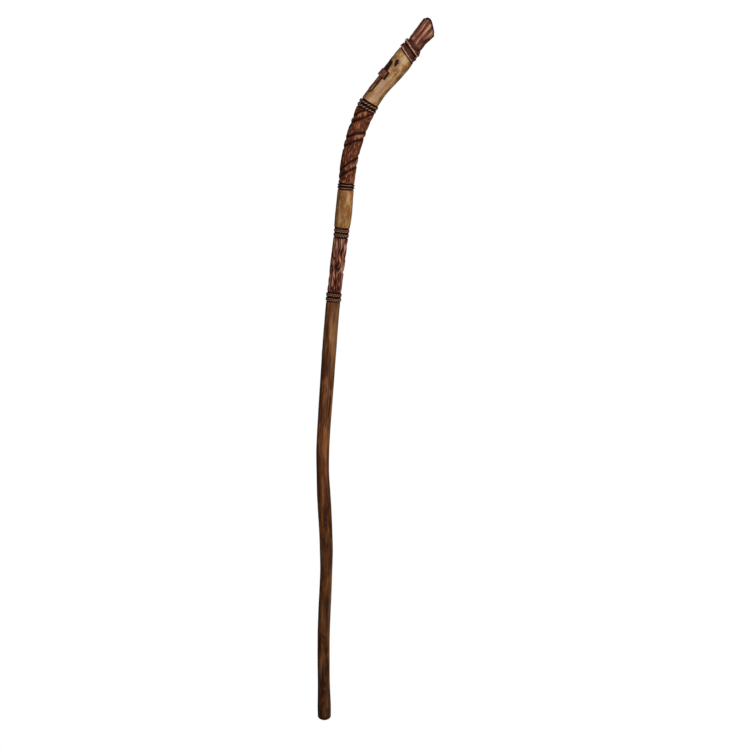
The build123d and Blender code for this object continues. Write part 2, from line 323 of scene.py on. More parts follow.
class Finish:
    """One material and its nodes."""

    def __init__(self, name):
        self.material = bpy.data.materials.new(name)
        self.material.use_nodes = True
        self.tree = self.material.node_tree
        self.tree.nodes.clear()

    def node(self, kind, settings=None, inputs=None, output=0):
        return Term(self, add_node(self.tree, kind, settings, inputs).outputs[output])

    def attribute(self, name, output="Fac"):
        return self.node("ShaderNodeAttribute", {"attribute_name": name}, output=output)

    def along(self, vector, stretch, shift=(0.0, 0.0, 0.0)):
        """The vector with each of its three parts scaled."""
        return self.node("ShaderNodeVectorMath", {"operation": "MULTIPLY_ADD"},
            {0: vector, 1: stretch, 2: shift})

    def noise(self, vector, scale=1.0, detail=3.0, rough=0.5, twist=0.0):
        return self.node("ShaderNodeTexNoise", {"noise_dimensions": "3D"}, {
            "Vector": vector, "Scale": scale, "Detail": detail, "Roughness": rough, "Distortion": twist})

    def between(self, value, low, high, first=0.0, last=1.0):
        return self.node("ShaderNodeMapRange", {"interpolation_type": "SMOOTHSTEP"}, {
            "Value": value, "From Min": low, "From Max": high, "To Min": first, "To Max": last})

    def ramp(self, value, stops):
        return self.node("ShaderNodeValToRGB", {"stops": stops}, {"Fac": value})

    def mix(self, first, second, amount, blend="MIX"):
        return self.node("ShaderNodeMix", {"data_type": "RGBA", "blend_type": blend},
                         {0: amount, 6: first, 7: second}, output=2)

    def bump(self, height, distance):
        return self.node("ShaderNodeBump", inputs={"Height": height, "Distance": distance, "Strength": 1.0})

    def surface(self, colour, rough, normal=None, **constants):
        inputs = {"Base Color": colour, "Roughness": rough}
        if normal is not None:
            inputs["Normal"] = normal
        inputs.update({key.replace("_", " "): value for key, value in constants.items()})
        skin = self.node("ShaderNodeBsdfPrincipled", inputs=inputs)
        self.close(skin)
        return self.material

    def close(self, skin):
        add_node(self.tree, "ShaderNodeOutputMaterial", inputs={"Surface": skin})


def paint(red, green, blue):
    """A colour given as it looks, from 0 to 255, as the linear colour that a shader takes."""
    parts = [v / 255.0 for v in (red, green, blue)]
    return tuple(p / 12.92 if p <= 0.04045 else ((p + 0.055) / 1.055) ** 2.4 for p in parts) + (1.0,)


# ---- wood finishes

OLD_VARNISH = 0.16  # the dull reflection of worn varnish


def wood_finish(name, dark, middle, light, groove, worn, grain=(2.0, 30.0), blotch=(9.0, 22.0),
                rough=0.5, coat=0.05, extra=None, grain_depth=0.12, streak=0.5):
    """Stained and varnished wood. The grain runs along the wand on the straightened coordinates, dark stain
    lies in the cuts and the colour is rubbed off their edges. The dark mask also holds painted shade, and the
    pale mask holds painted highlights on the head and along the spiral cuts."""
    f = Finish(name)
    dark, middle, light, groove, worn = (paint(*colour) for colour in (dark, middle, light, groove, worn))
    here = f.attribute("unbent", "Vector")
    across, length = grain
    fibre = f.noise(f.along(here, (1.0 / across, 1.0 / across, 1.0 / length)), detail=5.0, rough=0.6,
                    twist=0.25)
    fine = f.noise(f.along(here, (3.4 / across, 3.4 / across, 2.2 / length)), detail=3.0, rough=0.6)
    wide, tall = blotch
    spread = f.along(here, (1.0 / wide, 1.0 / wide, 1.0 / tall), (7.0, 3.0, 1.0))
    patch = f.noise(spread, detail=3.0, rough=0.55, twist=0.6)
    tone = f.between(fibre * streak + fine * (1.0 - streak) * 0.6 + patch * 0.75 - 0.38, 0.26, 0.70)
    colour = f.ramp(tone, [(0.0, dark), (0.45, middle), (1.0, light)])
    if extra is not None:
        colour = extra(f, here, colour)
    # The pale mask: rubbed wear, and on the head and the spiral also painted highlights.
    colour = f.mix(colour, worn, f.attribute("worn"))
    # The dark mask: stain in the cuts, and painted shade beside the rings and on shaded sides.
    colour = f.mix(colour, groove, f.attribute("groove"))
    normal = f.bump(fibre * 0.6 + fine * 0.4, grain_depth * MM)
    shine = f.between(patch + f.attribute("groove") * 0.8, 0.2, 1.1, rough - 0.08, rough + 0.22)
    gloss = (1.0 - f.attribute("groove")) * coat
    return f.surface(colour, shine, normal, Coat_Weight=gloss, Coat_Roughness=0.3,
        Specular_IOR_Level=OLD_VARNISH)


def shaft_tint(f, here, colour):
    """The shaft darkens from a warm brown below the grip to a dark brown foot, in uneven patches."""
    height = f.node("ShaderNodeSeparateXYZ", inputs={0: here}, output=2)
    sway = f.noise(f.along(here, (0.05, 0.05, 0.012)), detail=2.0)
    level = f.between(height + sway * 120.0 - 60.0, 0.0, 552.0)
    tint = f.ramp(level, [(0.0, paint(196, 183, 146)), (0.3, paint(216, 202, 164)),
        (0.62, paint(238, 214, 184)),
                          (1.0, paint(255, 252, 244))])
    colour = f.mix(colour, tint, 1.0, "MULTIPLY")
    knot = f.attribute("knot")
    return f.mix(colour, paint(44, 22, 12), knot)


def blotches(spot, warm):
    """Brown spots and yellowish patches over pale wood."""
    spot, warm = paint(*spot), paint(*warm)

    def over(f, here, colour):
        dabs = f.noise(f.along(here, (0.22, 0.22, 0.12), (2.0, 9.0, 4.0)), detail=4.0, rough=0.6, twist=1.2)
        specks = f.noise(f.along(here, (0.75, 0.75, 0.42)), detail=2.0, rough=0.5)
        colour = f.mix(colour, warm, f.between(dabs, 0.52, 0.7) * 0.6)
        colour = f.mix(colour, spot, f.between(dabs, 0.46, 0.34) * 0.6)
        return f.mix(colour, spot, f.between(specks, 0.70, 0.78) * 0.7)
    return over


finishes = {
    "shaft": wood_finish("shaft_wood_finish", (62, 30, 12), (116, 72, 40), (166, 116, 72),
                         (34, 12, 6), (156, 112, 74), grain=(1.6, 60.0), blotch=(8.0, 34.0),
                         rough=0.46, extra=shaft_tint, streak=0.6),
    "grip": wood_finish("bark_cut_finish", (92, 40, 26), (136, 74, 54), (178, 118, 88),
                        (34, 4, 0), (206, 152, 124), grain=(1.4, 18.0), rough=0.45),
    "tan": wood_finish("pale_wood_finish", (134, 84, 42), (170, 122, 70), (200, 156, 102),
                       (62, 24, 12), (214, 174, 124), grain=(2.4, 30.0), blotch=(8.0, 20.0), rough=0.42,
                       extra=blotches((104, 58, 30), (192, 152, 98))),
    "spiral": wood_finish("spiral_cut_finish", (86, 34, 18), (128, 66, 38), (170, 100, 56),
                          (38, 6, 4), (212, 142, 84), grain=(1.6, 16.0), rough=0.45),
    "head": wood_finish("head_wood_finish", (132, 84, 44), (186, 142, 92), (224, 184, 130),
                        (34, 10, 4), (196, 162, 134), grain=(3.0, 26.0), blotch=(7.0, 13.0), rough=0.3,
                        coat=0.3, extra=blotches((118, 70, 38), (210, 166, 100)), grain_depth=0.05),
    "topknot": wood_finish("topknot_finish", (86, 32, 22), (142, 82, 64), (184, 124, 100),
                           (40, 8, 4), (204, 152, 116), grain=(1.8, 18.0), rough=0.36, coat=0.12),
    "inlay": wood_finish("inlay_wood_finish", (96, 48, 36), (144, 84, 68), (178, 118, 80),
                         (24, 4, 2), (196, 134, 74), grain=(1.2, 9.0), blotch=(5.0, 7.0), rough=0.42),
}


# ---- building pieces of wood

def modified_mesh(holder):
    """The mesh that an object's modifiers make. The object itself goes."""
    bpy.context.view_layer.update()
    mesh = bpy.data.meshes.new_from_object(holder.evaluated_get(bpy.context.evaluated_depsgraph_get()))
    bpy.data.objects.remove(holder)
    return mesh


def turn_outwards(mesh, merge=False):
    """Makes every face look out, after joining the points that lie together if they are to be merged."""
    work = bmesh.new()
    work.from_mesh(mesh)
    if merge:
        bmesh.ops.remove_doubles(work, verts=work.verts, dist=1e-5)
    bmesh.ops.recalc_face_normals(work, faces=work.faces)
    work.to_mesh(mesh)
    work.free()


def make_piece(name, points, faces, finish, values=None, unbent=None):
    mesh = bpy.data.meshes.new(name)
    mesh.from_pydata([tuple(p) for p in points * MM], [], faces)
    for key, numbers in (values or {}).items():
        mesh.attributes.new(key, "FLOAT", "POINT").data.foreach_set("value", np.asarray(numbers, np.float32))
    if unbent is not None:
        layer = mesh.attributes.new("unbent", "FLOAT_VECTOR", "POINT")
        layer.data.foreach_set("vector", np.asarray(unbent, np.float32).ravel())
    mesh.polygons.foreach_set("use_smooth", np.ones(len(mesh.polygons), bool))
    mesh.materials.append(finish)
    piece = new_object(name, mesh)
    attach(piece, "root")
    return piece


def strip(low, high, spokes):
    """Faces between two rings of points, whose first points have these numbers."""
    return [(low + i, low + (i + 1) % spokes, high + (i + 1) % spokes, high + i) for i in range(spokes)]


def net(rows, spokes):
    """Faces of a closed tube with a pole at each end: the poles are the first and the last point."""
    faces = [(0, 1 + (i + 1) % spokes, 1 + i) for i in range(spokes)]
    for j in range(rows - 1):
        faces += strip(1 + j * spokes, 1 + (j + 1) * spokes, spokes)
    last, top = 1 + (rows - 1) * spokes, 1 + rows * spokes
    faces += [(last + i, last + (i + 1) % spokes, top) for i in range(spokes)]
    return faces


def turned_piece(name, turn, distance, radius, finish, values, sway=0.0):
    """A closed length of wood from a grid of turn angles, distances and radii, one row for each ring. Sway
    sets points over towards the side that the wand bends to."""
    rows, spokes = turn.shape
    grid = line.bend(turn, distance, radius) + np.expand_dims(sway, -1) * line.place(distance)[3]
    grid = grid.reshape(-1, 3)
    flat = np.stack([radius * np.cos(turn), radius * np.sin(turn), distance], -1).reshape(-1, 3)
    ends = [(0.0, 0.0, distance[0].mean()), (0.0, 0.0, distance[-1].mean())]
    poles = [grid[:spokes].mean(0), grid[-spokes:].mean(0)]
    points = np.vstack([poles[0], grid, poles[1]])
    unbent = np.vstack([ends[0], flat, ends[1]])
    spread = {key: np.concatenate([[v[0].mean()], v.ravel(), [v[-1].mean()]]) for key, v in values.items()}
    return make_piece(name, points, net(rows, spokes), finish, spread, unbent)


def grid_between(low, high, spacing, spokes):
    """Turn angles and distances from the foot over a length of the wand, one row for each ring of points."""
    rows = int(round((high - low) / spacing)) + 1
    return np.meshgrid(full_turn(spokes), np.linspace(low, high, rows))


def seat(turn, distance, radius, relief, dark, bands_near):
    """Turns each neighbouring band's channel into the wood: deep under the rings, a ridge between them and
    a shallow line over the margin beside them, all painted black as shade, with painted shade over the
    shoulder next to them."""
    for band in bands_near:
        gap = band.edge_gap(turn, distance, radius)
        relief = relief * step(band.margin - 0.6, band.margin + 2.0, gap)
        line_cut = step(band.margin + 0.45, band.margin - 0.35, gap)
        between = band.half - band.lower.width
        ridge = step(between + 0.2, between - 0.25, gap + band.half)
        bottom = band.lower.inner - SEAT_GAP + ridge * (band.lower.thickness - RIDGE_DEPTH)
        inside = step(0.05, -0.6, gap)
        radius = (radius - LINE_DEPTH * line_cut) * (1.0 - inside) + bottom * inside
        # Painted shade: the wood is darkened in the channel, on the line beside the rings and over the
        # shoulder next to it.
        dark = np.maximum(dark, 1.0 - step(band.margin - 0.1, band.margin + 1.1, gap))
    return radius + relief, dark


def around(turn, radius, size):
    """The straightened surface's two coordinates across the wand, in lumps of a size."""
    return radius * np.cos(turn) / size, radius * np.sin(turn) / size


def from_spot(turn, distance, radius, at, degrees, long, wide):
    """How far each point is from the middle of an oval spot on the surface: 0 there and 1 at the rim."""
    swing = (turn - math.radians(degrees) + np.pi) % (2.0 * np.pi) - np.pi
    return np.hypot(swing * radius / (wide / 2.0), (distance - at) / (long / 2.0))


# ---- shaft

# Small knots: distance from the foot, turn in degrees, length and width.
SHAFT_KNOTS = [(422.0, 41.0, 9.0, 3.2), (262.0, 3.0, 7.0, 3.0), (228.0, 1.0, 8.0, 3.4),
               (192.0, 16.0, 6.0, 3.0),
               (108.0, 3.0, 8.0, 4.0), (75.0, 27.0, 9.0, 5.0), (45.0, 8.0, 12.0, 6.0), (14.0, 35.0, 7.0, 5.0),
               (330.0, 150.0, 8.0, 4.0), (150.0, 215.0, 9.0, 4.0), (480.0, 250.0, 8.0, 3.5), (60.0, 130.0,
                   8.0, 5.0)]
FOOT_ROUND = 6.0


def make_shaft():
    top = bands["hand"].at
    turn, distance = grid_between(0.15, top, 1.0, 96)
    radius = wood_radius(distance) - 0.12
    x, y = around(turn, radius, 9.0)
    relief = 0.16 * cloud(x, y, distance / 46.0, 11) + 0.10 * cloud(x * 2.2, y * 2.2, distance / 24.0, 12)
    relief += 0.05 * cloud(x * 5.0, y * 5.0, distance / 30.0, 13)
    knot = np.zeros_like(turn)
    for at, degrees, long, wide in SHAFT_KNOTS:
        far = from_spot(turn, distance, radius, at, degrees, long, wide)
        relief += 0.28 * hill(far - 1.1, 0.55) - 0.45 * hill(far, 0.6)
        knot = np.maximum(knot, 0.9 * hill(far, 0.75) + 0.25 * hill(far - 1.5, 0.3))
    dark = np.zeros_like(turn)
    radius, dark = seat(turn, distance, radius, relief, dark, [bands["hand"]])
    rounding = np.sqrt(np.clip(1.0 - (1.0 - np.clip(distance / FOOT_ROUND, 0.0, 1.0)) ** 2, 0.0, 1.0))
    radius = radius * (0.35 + 0.65 * rounding) * np.where(distance < FOOT_ROUND,
        0.02 + 0.98 * rounding ** 0.35, 1.0)
    worn = 0.35 * step(0.25, 0.6, cloud(x, y, distance / 60.0, 15))
    shaft = turned_piece("shaft", turn, distance, radius, finishes["shaft"],
                         {"groove": dark, "worn": worn, "knot": knot})
    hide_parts("branch")


# ---- grip

def make_grip():
    turn, distance = grid_between(bands["hand"].at, bands["grip"].at, 0.32, 192)
    radius = wood_radius(distance)
    x, y = around(turn, radius, 1.0)
    wander = 1.1 * cloud(x / 7.0, y / 7.0, distance / 17.0, 21)
    spun = turn + wander * 0.22
    x, y = around(spun, radius, 3.0)
    bark = cloud(x, y, distance / 17.0, 22) + 0.35 * cloud(x * 2.1, y * 2.1, distance / 9.0, 23)
    cut = hill(bark, 0.18)
    ridge = step(0.1, 0.5, np.abs(bark))
    chips = cloud(x * 2.6, y * 2.6, distance / 6.0, 24)
    relief = -1.2 * cut + 0.25 * ridge + 0.10 * chips
    dark = np.clip(cut * 1.25 - 0.1, 0.0, 1.0)
    worn = 0.95 * step(0.26, 0.66, np.abs(bark)) * (0.7 + 0.5 * chips)
    radius, dark = seat(turn, distance, radius, relief, dark, [bands["hand"], bands["grip"]])
    grip = turned_piece("bark_cut_grip", turn, distance, radius, finishes["grip"],
                        {"groove": dark, "worn": np.clip(worn, 0.0, 1.0)})
    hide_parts("branch")


# ---- pale length

TAN_KNOTS = [(0.60, 22.0, 3.0, 2.2), (0.80, -42.0, 5.0, 3.0), (0.72, -8.0, 6.0, 4.5), (0.26, 12.0, 9.0, 6.0),
             (0.34, -12.0, 3.0, 2.5), (0.5, 150.0, 8.0, 5.0), (0.3, 230.0, 5.0, 4.0)]


def make_pale_length():
    low, high = bands["grip"].at, bands["thin"].at
    turn, distance = grid_between(low, high, 0.5, 144)
    radius = wood_radius(distance)
    x, y = around(turn, radius, 9.0)
    relief = 0.22 * cloud(x, y, distance / 16.0, 31) + 0.12 * cloud(x * 2.5, y * 2.5, distance / 10.0, 32)
    stain = np.zeros_like(turn)
    for part, degrees, long, wide in TAN_KNOTS:
        far = from_spot(turn, distance, radius, low + part * (high - low), degrees, long, wide)
        relief += 0.10 * hill(far - 1.1, 0.4) - 0.22 * hill(far, 0.7)
        stain = np.maximum(stain, 0.55 * hill(far, 0.8) + 0.22 * hill(far - 1.25, 0.18))
    worn = 0.4 * step(0.1, 0.6, cloud(x, y, distance / 22.0, 33))
    radius, dark = seat(turn, distance, radius, relief, stain, [bands["grip"], bands["thin"]])
    pale = turned_piece("pale_length", turn, distance, radius, finishes["tan"],
                        {"groove": dark, "worn": worn})
    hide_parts("branch")


# ---- spiral length

# The two cut lines of the spiral: whole turns from the front, and the height above the thin band.
LOWER_CUT = [(-0.60, -7.7), (-0.14, 13.3), (0.0, 20.3), (0.16, 25.8), (0.84, 51.8), (1.0, 59.8), (1.19, 65.8),
             (1.86, 83.3), (2.0, 91.8), (2.18, 104.3), (2.5, 121.3)]
UPPER_CUT = [(-0.60, 2.3), (-0.14, 22.3), (0.0, 31.3), (0.17, 39.3), (0.84, 62.3), (1.0, 70.7), (1.19, 75.3),
             (1.84, 91.3), (1.92, 98.3), (2.0, 104.3), (2.2, 116.3), (2.5, 131.3)]


def cut_depth(turn, height, cut, wide):
    """How deep a point lies in a spiral cut, from 0 to 1, and on which side of its middle it is."""
    turns, rises = np.array(cut).T
    lap = np.where(turn > np.pi, turn - 2.0 * np.pi, turn) / (2.0 * np.pi)
    best = np.full(turn.shape, 99.0)
    for whole in range(-1, 4):
        there = np.interp(lap + whole, turns, rises, left=-99.0, right=199.0)
        gap = height - there
        best = np.where(np.abs(gap) < np.abs(best), gap, best)
    return np.exp(-np.abs(best / wide) ** 2.6), best


def make_spiral_length():
    low, high = bands["thin"].at, bands["neck"].at
    turn, distance = grid_between(low, high, 0.38, 192)
    radius = wood_radius(distance)
    height = distance - low
    x, y = around(turn, radius, 1.0)
    uneven = 0.7 * cloud(x / 5.0, y / 5.0, distance / 6.0, 41)
    lower, below = cut_depth(turn, height + uneven, LOWER_CUT, 2.6)
    upper, above = cut_depth(turn, height + uneven, UPPER_CUT, 2.6)
    cut = np.maximum(lower, upper)
    ribbon = step(-0.5, 1.5, below) * step(0.5, -1.5, above) * (np.abs(below) < 14) * (np.abs(above) < 14)
    lean = 0.35 * np.sin(distance / 3.6 + 2.0 * cloud(x / 6.0, y / 6.0, distance / 14.0, 42))
    gx, gy = around(turn + lean / radius, radius, 1.55)
    gouge = cloud(gx, gy, distance / 6.0, 43)
    marks = hill(gouge, 0.18) * (1.0 - ribbon) * (1.0 - cut)
    crest = step(0.25, 0.65, np.abs(gouge)) * (1.0 - cut)
    ribbon_lumps = cloud(x / 3.2, y / 3.2, distance / 5.0, 44)
    relief = -0.95 * cut - 0.45 * marks + 0.12 * crest + ribbon * (0.1 + 0.2 * ribbon_lumps)
    # Painted highlight: a pale line just beneath each cut.
    lip_highlight = hill(np.minimum(below, 0) + 2.3, 0.5) + hill(np.minimum(above, 0) + 2.3, 0.5)
    worn = 0.55 * crest * (1.0 - ribbon) + 0.35 * lip_highlight + 0.5 * ribbon * step(-0.1, 0.5, ribbon_lumps)
    dark = np.clip(cut * 1.1 + 0.75 * marks + 0.3 * ribbon * step(0.1, -0.5, ribbon_lumps), 0.0, 1.0)
    radius, dark = seat(turn, distance, radius, relief, dark, [bands["thin"], bands["neck"]])
    spiral = turned_piece("spiral_cut_length", turn, distance, radius, finishes["spiral"],
                          {"groove": dark, "worn": np.clip(worn, 0.0, 1.0)})
    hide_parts("branch")


# ---- head

def near(tree, points, reach):
    """Distance from each point to the surface of some CAD parts, up to a reach."""
    far = np.full(len(points), reach)
    for i, point in enumerate(points):
        hit = tree.find_nearest(Vector(point), reach)
        if hit[0] is not None:
            far[i] = hit[3]
    return far


# Painted sheen, pale patches on the face: distance below the head band, turn in degrees, length and width.
SHEEN_PATCHES = [(15.0, 1.0, 13.0, 8.0), (26.0, 12.0, 8.0, 4.0)]
# Small dark specks beneath the eye: distance below the head band, turn in degrees and size.
FACE_SPECKS = [(33.6, 2.0, 2.2), (37.0, 17.0, 2.6), (41.0, 12.0, 2.2), (64.0, 38.0, 2.4), (52.0, 30.0, 2.0)]


def make_head():
    low, band = bands["neck"].at, bands["head"]
    turn, distance = grid_between(low, band.at, 0.42, 200)
    radius = wood_radius(distance)
    tilt = step(band.at - 34.0, band.at - 6.0, distance)
    distance = distance + tilt * band.lean * radius * np.sin(turn)
    x, y = around(turn, radius, 8.0)
    relief = 0.22 * cloud(x, y, distance / 13.0, 51) + 0.08 * cloud(x * 2.4, y * 2.4, distance / 7.0, 52)
    surface = line.bend(turn, distance, radius).reshape(-1, 3)
    inlays = solid_tree("nose", "chin_strip")
    eyes = solid_tree("eye_left", "eye_right")
    by_inlay = near(inlays, surface, 4.0).reshape(turn.shape)
    by_eye = near(eyes, surface, 4.0).reshape(turn.shape)
    beside = hill(by_inlay, 1.0)
    socket = hill(by_eye, 1.4)
    relief = relief - 0.5 * beside - 0.35 * socket
    dark = np.clip(beside * 1.1 + 0.6 * hill(by_eye, 0.7), 0.0, 1.0)
    worn = 0.45 * step(0.15, 0.6, cloud(x, y, distance / 14.0, 53))
    # Painted sheen: pale patches on the temple and on the side of the face.
    for at, degrees, long, wide in SHEEN_PATCHES:
        far = from_spot(turn, distance, radius, band.at - at, degrees, long, wide)
        worn = np.maximum(worn, 0.85 * step(1.3, 0.4, far + 0.25
            * cloud(x * 3.0, y * 3.0, distance / 4.0, 54)))
    # Painted highlight: a pale streak down the front of the lower face.
    front_highlight = from_spot(turn, distance, radius, band.at - 58.0, -6.0, 40.0, 11.0)
    worn = np.maximum(worn, 0.6 * hill(front_highlight, 0.9))
    # Painted shade: patches darkened on the right side of the head, below its upper part.
    shade = step(0.3, 0.85, np.sin(turn)) * step(-0.3, 0.3, cloud(x * 1.4, y * 1.4, distance / 12.0, 55))
    dark = np.maximum(dark, 0.3 * shade * step(8.0, 24.0, band.at - distance))
    for below, degrees, size in FACE_SPECKS:
        far = from_spot(turn, distance, radius, band.at - below, degrees, size, size)
        dark = np.maximum(dark, 0.6 * hill(far, 0.9))
    worn = worn * (1.0 - dark)
    radius, dark = seat(turn, distance, radius, relief, dark, [bands["neck"], band])
    # Painted shadow: a dark band on the wood beneath the head band, wider on the right.
    shadow_width = 2.6 + 1.3 * np.sin(turn)
    dark = np.maximum(dark, 1.0 - step(shadow_width - 1.4, shadow_width, band.edge_gap(turn, distance, radius)))
    brow = hill(distance - band.at + 22.0, 13.0)
    head = turned_piece("carved_head", turn, distance, radius, finishes["head"],
                        {"groove": dark, "worn": worn}, -0.4 * brow)
    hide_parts("branch")


def carved_inlay(node, finish, slot, voxel, relax, proud, bridge=0.0):
    """An inlaid part with softened, hand-cut edges, from a merged copy of its CAD solid. Its sides are
    darkened nearly black to about its proud height above the wood, and so is its upper end over the bridge's
    length."""
    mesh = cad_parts[node].data.copy()
    turn_outwards(mesh, merge=True)
    block = new_object(f"{node}_block", mesh)
    grain = block.modifiers.new("even", "REMESH")
    grain.mode, grain.voxel_size = "VOXEL", voxel * MM
    soften = block.modifiers.new("soften", "SMOOTH")
    soften.factor, soften.iterations = 0.5, relax
    carved = modified_mesh(block)
    points = of_vertices(carved) / MM
    faces = [tuple(p.vertices) for p in carved.polygons]
    middle = points.mean(0)
    at = line.nearest(middle)
    centre, aim, front, side = line.place(at)
    offset = points - centre
    unbent = np.stack([offset @ front, offset @ side, at + offset @ aim], 1)
    x, y, z = unbent.T
    lumps = 0.10 * cloud(x / 2.4, y / 2.4, z / 6.0, 61) + 0.05 * cloud(x, y, z / 3.0, 62)
    points = points + of_vertices(carved, "normal") * lumps[:, None]
    worn = 0.5 * step(0.0, 0.6, cloud(x / 2.0, y / 2.0, z / 5.0, 63))
    # Painted highlight: on an eye the pale mask holds a glint instead of wear.
    if slot == "eye":
        glint = points[np.argmax(x + y * 0.3)] + aim * 1.6
        worn = np.exp(-(np.linalg.norm(points - glint, axis=1) / 1.0) ** 2)
    rebate = near(solid_tree("branch"), points, 4.0)
    dark = step(proud + 0.7, proud - 0.2, rebate)
    upper = step(-0.5, 0.5, z - (z.max() - bridge)) * (0.82 + 0.3 * cloud(x / 1.6, y / 1.6, z / 2.4, 64))
    dark = np.maximum(dark, np.clip(upper, 0.0, 1.0) * (bridge > 0.0))
    worn = worn * (1.0 - dark * (slot != "eye"))
    piece = make_piece(f"{node}_inlay", points, faces, finish, {"groove": dark, "worn": worn}, unbent)
    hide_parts(node)


# ---- topknot

FLUTES = 9
TOPKNOT_RADIUS = 12.1


def make_topknot():
    band = bands["head"]

    def cut_end(turn, radius):
        """The slanting knife cut across the end, which is highest at the front and to the left, with the
        corner there rounded off."""
        front, side = radius * np.cos(turn), radius * np.sin(turn)
        corner = np.clip(-side / TOPKNOT_RADIUS, 0.0, 1.0)
        return band.at + 40.0 - 0.73 * side + 0.375 * front - 8.0 * corner ** 3.3

    spokes, side_rows, face_rows = 192, 96, 40
    turn = np.tile(full_turn(spokes), (side_rows + face_rows, 1))
    part = np.linspace(0.0, 1.0, side_rows)[:, None]
    rim_radius = wood_radius(np.full(spokes, band.at + 33.0))
    rim = cut_end(turn[0], rim_radius)
    start = band.at + band.lean * rim_radius * np.sin(turn[0])
    side_distance = start + part * (rim - start)
    side_radius = wood_radius(side_distance)
    face_radius = rim_radius * np.linspace(0.965, 0.02, face_rows)[:, None]
    face_distance = cut_end(turn[side_rows:], face_radius) + 0.4
    distance = np.vstack([side_distance, face_distance])
    radius = np.vstack([side_radius, np.broadcast_to(face_radius, face_distance.shape)])
    on_side = np.vstack([np.ones_like(side_distance), np.zeros_like(face_distance)])
    x, y = around(turn, radius, 4.0)
    wave = turn + 0.25 * cloud(x / 2.0, y / 2.0, distance / 20.0, 71)
    flute = np.cos(wave * FLUTES + 1.1 * cloud(x, y, distance / 30.0, 72))
    fade = step(band.at + 6.0, band.at + 14.0, distance)
    cuts = cloud(x * 1.6, y * 1.6, distance / 12.0, 73)
    groove = step(0.45, 0.95, -flute) * fade * on_side
    relief = (0.38 * flute * fade - 0.25 * hill(cuts, 0.15)) * on_side
    worn = step(0.3, 0.85, flute) * step(-0.4, 0.2, cloud(x * 1.2, y * 1.2, distance / 16.0, 74)) * fade
    dark = 0.5 * groove + 0.45 * hill(cuts, 0.14) * on_side
    # Painted shade: a dark patch low on the right of the topknot, above the head band.
    base_shade = from_spot(turn, distance, radius, band.at + 18.0, 32.0, 22.0, 9.0)
    dark = np.maximum(dark, 0.75 * hill(base_shade, 0.8))
    radius, dark = seat(turn, distance, radius, relief, dark, [band])
    up = step(band.at + 5.0, band.at + 32.0, distance)
    radius = radius + (1.0 * up - 0.5) * on_side
    # Painted shade: a dark edge along the rim of the end cut.
    from_rim = np.where(on_side > 0.5, rim - distance, (rim_radius - radius) * 1.2)
    dark = np.maximum(dark, step(3.4, 1.6, from_rim))
    # Painted shade: the right side of the topknot darkened down its length.
    dark = np.maximum(dark, 0.85 * step(0.84, 0.97, np.sin(turn)) * on_side)
    worn = worn * (1.0 - dark)
    knot = turned_piece("fluted_topknot", turn, distance, radius, finishes["topknot"],
                        {"groove": np.clip(dark, 0, 1), "worn": worn}, 1.3 * up - 1.1)
    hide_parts("topknot")


# ---- cord rings

def cord_finish(name, dark, middle, crest, low, high, rough=0.5):
    """Cord coloured from near black to pale by its height: painted shade in the crevices between strands and
    a painted highlight along their crests.
    """
    f = Finish(name)
    here = f.node("ShaderNodeTexCoord", output="Object")
    grime = f.noise(here, 700.0, detail=3.0)
    level = f.between(f.attribute("high") + grime * 0.34 - 0.17, low, high)
    colour = f.ramp(level, [(0.0, dark), (0.55, middle), (1.0, crest)])
    normal = f.bump(f.noise(here, 2600.0, detail=2.0), 0.12 * MM)
    return f.surface(colour, rough, normal, Coat_Weight=0.04, Coat_Roughness=0.3,
        Specular_IOR_Level=OLD_VARNISH)


cord_plaited = cord_finish("plaited_cord_finish", paint(12, 3, 1), paint(84, 44, 28),
    paint(196, 144, 108), 0.5, 1.2)
cord_twisted = cord_finish("twisted_cord_finish", paint(26, 8, 5), paint(92, 48, 34),
    paint(196, 142, 112), 0.52, 1.26)
cord_smooth = cord_finish("smooth_cord_finish", paint(14, 4, 3), paint(74, 36, 26), paint(206, 160, 134),
    0.70, 1.06)
cord_broad = cord_finish("broad_cord_finish", paint(30, 8, 4), paint(122, 62, 44), paint(216, 168, 134),
    0.0, 0.9)


